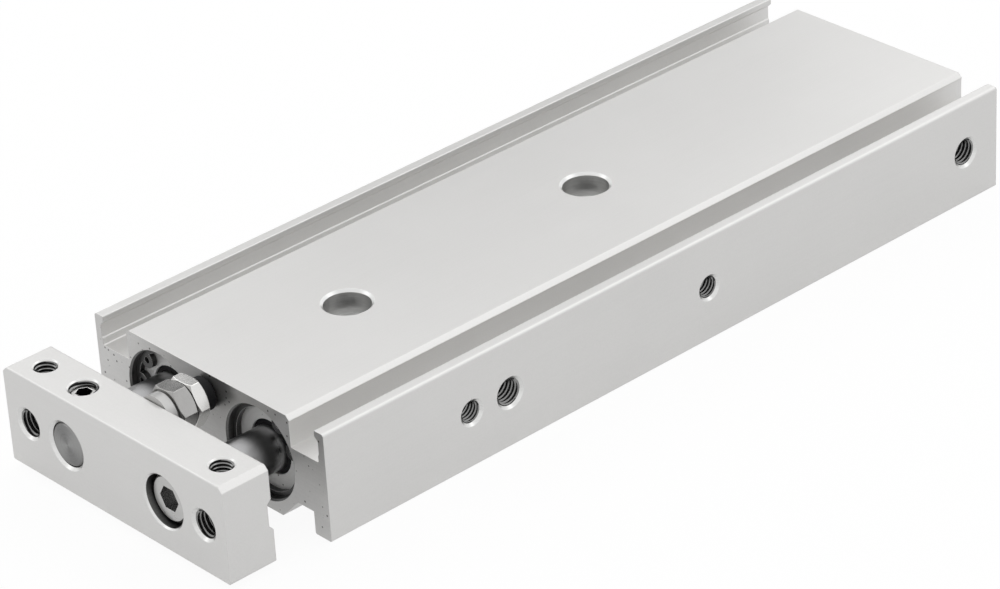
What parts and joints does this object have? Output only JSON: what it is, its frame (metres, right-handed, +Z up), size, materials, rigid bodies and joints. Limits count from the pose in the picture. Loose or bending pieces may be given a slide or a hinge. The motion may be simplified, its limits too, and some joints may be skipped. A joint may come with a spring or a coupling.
{
  "type": "twin rod pneumatic cylinder",
  "caption": "Flat guided air cylinder with twin chrome rods in one aluminium housing, an end plate that slides out, switch channels and side air ports.",
  "frame": {"origin": "on the housing's bottom face, on its centre line, midway between the two mounting holes", "axes": "+X across the width towards the side with the open air ports, +Y from the end plate to the rear, +Z up"},
  "size_m": [0.058, 0.18, 0.0206],
  "materials": {
    "housing": "fine blasted and clear anodised, satin",
    "plate": "fine blasted and clear anodised, satin",
    "cover": "turned, matt",
    "piston": "turned, plain",
    "rod": "hard chrome plated and polished",
    "screw": "stainless, machined",
    "nut": "bright nickel plated",
    "circlip": "black phosphated spring steel",
    "seal": "black nitrile, moulded",
    "bumper": "black urethane, moulded",
    "magnet": "bonded ferrite, plain"
  },
  "bodies": {
    "housing": {"housing": "housing", "rod_cover_left": "cover", "rod_cover_right": "cover", "rod_seal_left": "seal", "rod_seal_right": "seal", "rod_cover_oring_left": "seal", "rod_cover_oring_right": "seal", "front_circlip_left": "circlip", "front_circlip_right": "circlip", "head_cover_left": "cover", "head_cover_right": "cover", "head_cover_oring_left": "seal", "head_cover_oring_right": "seal", "rear_circlip_left": "circlip", "rear_circlip_right": "circlip", "port_plug_front": "screw", "port_plug_rear": "screw"},
    "slider": {"end_plate": "plate", "piston_rod_left": "rod", "piston_rod_right": "rod", "piston_left": "piston", "piston_right": "piston", "piston_seal_left": "seal", "piston_seal_right": "seal", "magnet_left": "magnet", "magnet_right": "magnet", "piston_bumper_left": "bumper", "piston_bumper_right": "bumper", "plate_cap_screw": "screw", "plate_set_screw": "screw", "bumper_bolt": "nut", "bumper_lock_nut": "nut", "bumper_washer": "nut", "bumper_pad": "bumper"}
  },
  "joints": [
    {"name": "rod_slide", "type": "slide", "parent": "housing", "child": "slider", "axis": [0, -1, 0], "range_m": [0, 0.1]}
  ]
}
